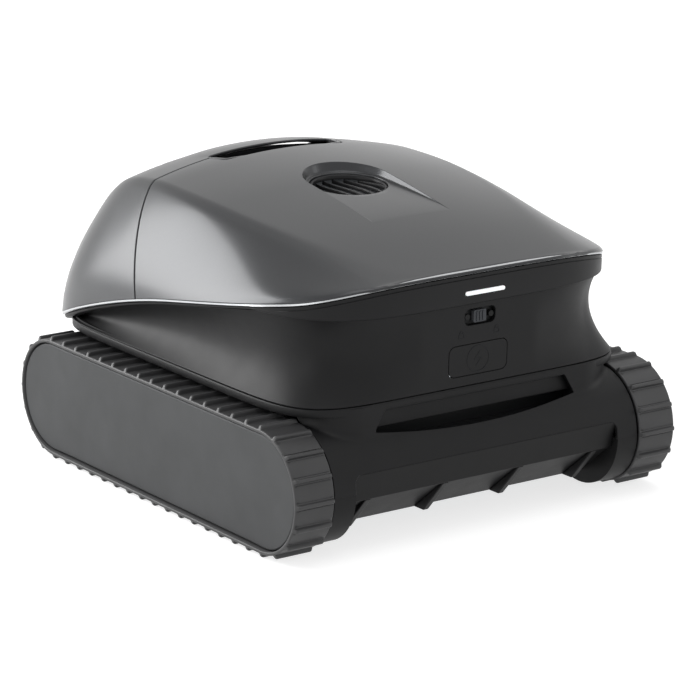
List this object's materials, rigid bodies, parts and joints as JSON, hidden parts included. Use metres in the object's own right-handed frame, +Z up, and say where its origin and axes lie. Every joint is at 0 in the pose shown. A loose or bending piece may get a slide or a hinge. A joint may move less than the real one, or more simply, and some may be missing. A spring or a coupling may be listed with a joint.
{
  "type": "robotic pool cleaner",
  "caption": "Tracked pool cleaning robot with a glossy domed top shell, hinged rear lid with lifting handle, roller brush, pump and filter basket.",
  "frame": {"origin": "middle of the footprint on the ground plane that the track lugs rest on", "axes": "+Z up, front (status light, switch and charge port) faces -Y, X across the tracks"},
  "size_m": [0.4, 0.4516, 0.2774],
  "materials": {
    "gloss_shell": "metallic grey, polished",
    "charcoal_body": "fine texture",
    "belly": "fine texture",
    "brow": "satin",
    "front_insert": "satin",
    "side_cover": "fine texture",
    "track_rubber": "satin",
    "seal_rubber": "matt",
    "brush_rubber": "satin",
    "wheel_plastic": "satin",
    "gear_plastic": "satin",
    "guide_plastic": "satin",
    "frame_plastic": "satin",
    "black_plastic": "satin",
    "handle_core": "satin",
    "duct_plastic": "satin",
    "deck_plastic": "satin",
    "grille_plastic": "satin",
    "light_lens": "clear white",
    "slider": "ribbed",
    "basket_plastic": "satin",
    "bail_plastic": "satin",
    "battery_case": "satin",
    "board_case": "satin",
    "foam": "closed-cell foam",
    "motor_can": "brushed",
    "pin_steel": "ground",
    "axle_aluminium": "turned",
    "tube_aluminium": "anodised",
    "contact_brass": "plated",
    "impeller_plastic": "satin",
    "latch_plastic": "satin"
  },
  "bodies": {
    "chassis": {"lower_chassis": "belly", "front_housing": "charcoal_body", "front_underbody": "belly", "front_panel": "front_insert", "front_ribs": "charcoal_body", "rear_housing": "belly", "body_seal": "seal_rubber", "upper_housing": "charcoal_body", "brow_trim": "brow", "top_cover": "gloss_shell", "exhaust_recess": "gloss_shell", "exhaust_grille": "grille_plastic", "status_light": "light_lens", "light_board": "board_case", "switch_bezel": "black_plastic", "charge_pin": "pin_steel", "charge_socket": "black_plastic", "charge_contacts": "contact_brass", "hinge_base": "belly", "hinge_pins": "pin_steel", "pump_deck": "deck_plastic", "pump_motor": "motor_can", "pump_duct": "duct_plastic", "intake_throat": "deck_plastic", "filter_basket": "basket_plastic", "basket_bail": "bail_plastic", "battery_pack": "battery_case", "control_box": "board_case", "float_blocks": "foam", "brush_motor": "motor_can", "brush_pin": "pin_steel", "drive_motors": "motor_can", "wheel_axles": "axle_aluminium", "belt_left": "track_rubber", "belt_right": "track_rubber", "side_covers": "side_cover", "track_frames": "frame_plastic", "belt_rails": "guide_plastic", "frame_screws": "pin_steel"},
    "lid": {"rear_lid": "gloss_shell", "handle_strap": "gloss_shell", "handle_bar": "handle_core", "handle_pocket": "black_plastic"},
    "latch": {"lid_latch": "latch_plastic"},
    "switch": {"switch_slider": "slider"},
    "charge_door": {"charge_cover": "charcoal_body"},
    "pump_rotor": {"impeller": "impeller_plastic", "pump_shaft": "pin_steel"},
    "flap": {"inlet_flap": "brush_rubber"},
    "brush": {"brush_tube": "tube_aluminium", "brush_blades": "brush_rubber"},
    "front_left_wheel": {"wheel_front_left": "wheel_plastic", "gear_left": "gear_plastic"},
    "front_right_wheel": {"wheel_front_right": "wheel_plastic", "gear_right": "gear_plastic"},
    "rear_left_wheel": {"wheel_rear_left": "wheel_plastic"},
    "rear_right_wheel": {"wheel_rear_right": "wheel_plastic"},
    "left_pinion": {"pinion_left": "pin_steel"},
    "right_pinion": {"pinion_right": "pin_steel"}
  },
  "joints": [
    {"name": "lid_hinge", "type": "hinge", "parent": "chassis", "child": "lid", "pos_m": [0, 0.2196, 0.117], "axis": [-1, 0, 0], "range_deg": [0, 75]},
    {"name": "latch_slide", "type": "slide", "parent": "lid", "child": "latch", "axis": [1, 0, 0], "range_m": [0, 0.004], "stiffness_N_per_m": 300},
    {"name": "power_switch", "type": "slide", "parent": "chassis", "child": "switch", "axis": [1, 0, 0], "range_m": [-0.007, 0.007]},
    {"name": "charge_cover_hinge", "type": "hinge", "parent": "chassis", "child": "charge_door", "pos_m": [-0.0288, -0.1999, 0.1475], "axis": [0, 0, -1], "range_deg": [0, 100]},
    {"name": "pump_spin", "type": "hinge", "parent": "chassis", "child": "pump_rotor", "pos_m": [0, -0.012, 0.183], "axis": [0, 0, 1], "continuous": true},
    {"name": "flap_hinge", "type": "hinge", "parent": "chassis", "child": "flap", "pos_m": [0, 0.0106, 0.0472], "axis": [1, 0, 0], "range_deg": [0, 60]},
    {"name": "brush_spin", "type": "hinge", "parent": "chassis", "child": "brush", "pos_m": [0, -0.117, 0.0195], "axis": [1, 0, 0], "continuous": true},
    {"name": "front_left_spin", "type": "hinge", "parent": "chassis", "child": "front_left_wheel", "pos_m": [-0.1802, -0.1685, 0.0573], "axis": [1, 0, 0], "continuous": true},
    {"name": "rear_left_spin", "type": "hinge", "parent": "chassis", "child": "rear_left_wheel", "pos_m": [-0.1802, 0.1685, 0.0573], "axis": [1, 0, 0], "continuous": true},
    {"name": "left_pinion_spin", "type": "hinge", "parent": "chassis", "child": "left_pinion", "pos_m": [-0.1677, -0.13064, 0.06745], "axis": [1, 0, 0], "continuous": true},
    {"name": "front_right_spin", "type": "hinge", "parent": "chassis", "child": "front_right_wheel", "pos_m": [0.1802, -0.1685, 0.0573], "axis": [1, 0, 0], "continuous": true},
    {"name": "rear_right_spin", "type": "hinge", "parent": "chassis", "child": "rear_right_wheel", "pos_m": [0.1802, 0.1685, 0.0573], "axis": [1, 0, 0], "continuous": true},
    {"name": "right_pinion_spin", "type": "hinge", "parent": "chassis", "child": "right_pinion", "pos_m": [0.1677, -0.13064, 0.06745], "axis": [1, 0, 0], "continuous": true}
  ],
  "couplings": [
    {"joint": "rear_left_spin", "follows": "front_left_spin", "ratio": 1},
    {"joint": "left_pinion_spin", "follows": "front_left_spin", "ratio": -3.3333},
    {"joint": "rear_right_spin", "follows": "front_right_spin", "ratio": 1},
    {"joint": "right_pinion_spin", "follows": "front_right_spin", "ratio": -3.3333}
  ]
}
